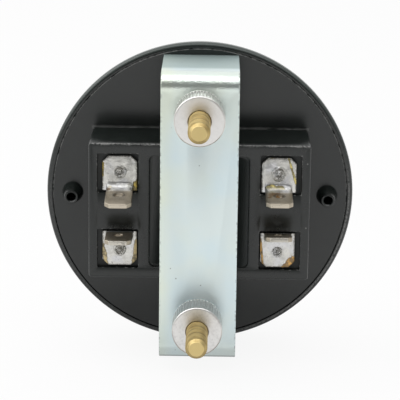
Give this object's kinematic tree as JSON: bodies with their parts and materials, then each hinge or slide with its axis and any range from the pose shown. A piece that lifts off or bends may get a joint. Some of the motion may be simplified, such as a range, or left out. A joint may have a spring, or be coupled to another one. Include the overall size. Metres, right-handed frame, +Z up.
{
  "type": "panel hour meter",
  "caption": "Round panel-mounted hour meter with a digital display, push-on blade terminals on a rear block, and a U bracket held by knurled thumb nuts.",
  "frame": {"origin": "centre of the flange's rear face, on the meter's axis", "axes": "+Y out of the back towards the terminals, +Z up, +X to the left as seen from behind"},
  "size_m": [0.058, 0.04, 0.058],
  "materials": {
    "black_plastic": "semi-gloss moulded black plastic",
    "clear_lens": "polished clear plastic",
    "dial_face": "matt printed sheet",
    "display_glass": "grey-green display glass",
    "holder_plastic": "matt moulded grey plastic",
    "elastomer": "soft layered rubber",
    "board": "green solder mask on glass fibre",
    "chip_plastic": "matt black moulding compound",
    "can_metal": "plated can",
    "sleeve": "shrunk sleeve",
    "resistor_body": "lacquered body",
    "tinned_metal": "tin plated, with a little flux left on it",
    "brass": "plain turned brass",
    "zinc_steel": "zinc plated sheet steel",
    "nut_metal": "nickel plated, knurled",
    "screw_steel": "zinc plated"
  },
  "bodies": {
    "meter": {"bezel": "black_plastic", "lens": "clear_lens", "dial_plate": "dial_face", "lcd_glass": "display_glass", "lcd_frame": "holder_plastic", "zebra_upper": "elastomer", "zebra_lower": "elastomer", "circuit_board": "board", "controller_chip": "chip_plastic", "memory_chip": "chip_plastic", "quartz_crystal": "can_metal", "capacitor": "sleeve", "rectifier": "chip_plastic", "dropper_resistor": "resistor_body", "regulator": "chip_plastic", "frame_screw_left": "screw_steel", "frame_screw_right": "screw_steel", "rear_cover": "black_plastic", "contact_pin_top_left": "tinned_metal", "contact_pin_top_right": "tinned_metal", "contact_pin_bottom_left": "tinned_metal", "contact_pin_bottom_right": "tinned_metal", "terminal_top_left": "tinned_metal", "terminal_top_right": "tinned_metal", "terminal_bottom_left": "tinned_metal", "terminal_bottom_right": "tinned_metal", "stud_top": "brass", "stud_bottom": "brass"},
    "bracket": {"bracket": "zinc_steel"},
    "nut_top": {"nut_top": "nut_metal"},
    "nut_bottom": {"nut_bottom": "nut_metal"}
  },
  "joints": [
    {"name": "bracket_slide", "type": "slide", "parent": "meter", "child": "bracket", "axis": [0, 1, 0], "range_m": [0, 0.007]},
    {"name": "nut_top_turn", "type": "hinge", "parent": "bracket", "child": "nut_top", "pos_m": [0, 0.02175, 0.0193], "axis": [0, 1, 0], "range_deg": [0, 3600]},
    {"name": "nut_bottom_turn", "type": "hinge", "parent": "bracket", "child": "nut_bottom", "pos_m": [0, 0.02175, -0.0193], "axis": [0, 1, 0], "range_deg": [0, 3600]}
  ],
  "couplings": [
    {"joint": "nut_top_turn", "follows": "bracket_slide", "rad_per_m": 8975.9},
    {"joint": "nut_bottom_turn", "follows": "bracket_slide", "rad_per_m": 8975.9}
  ]
}
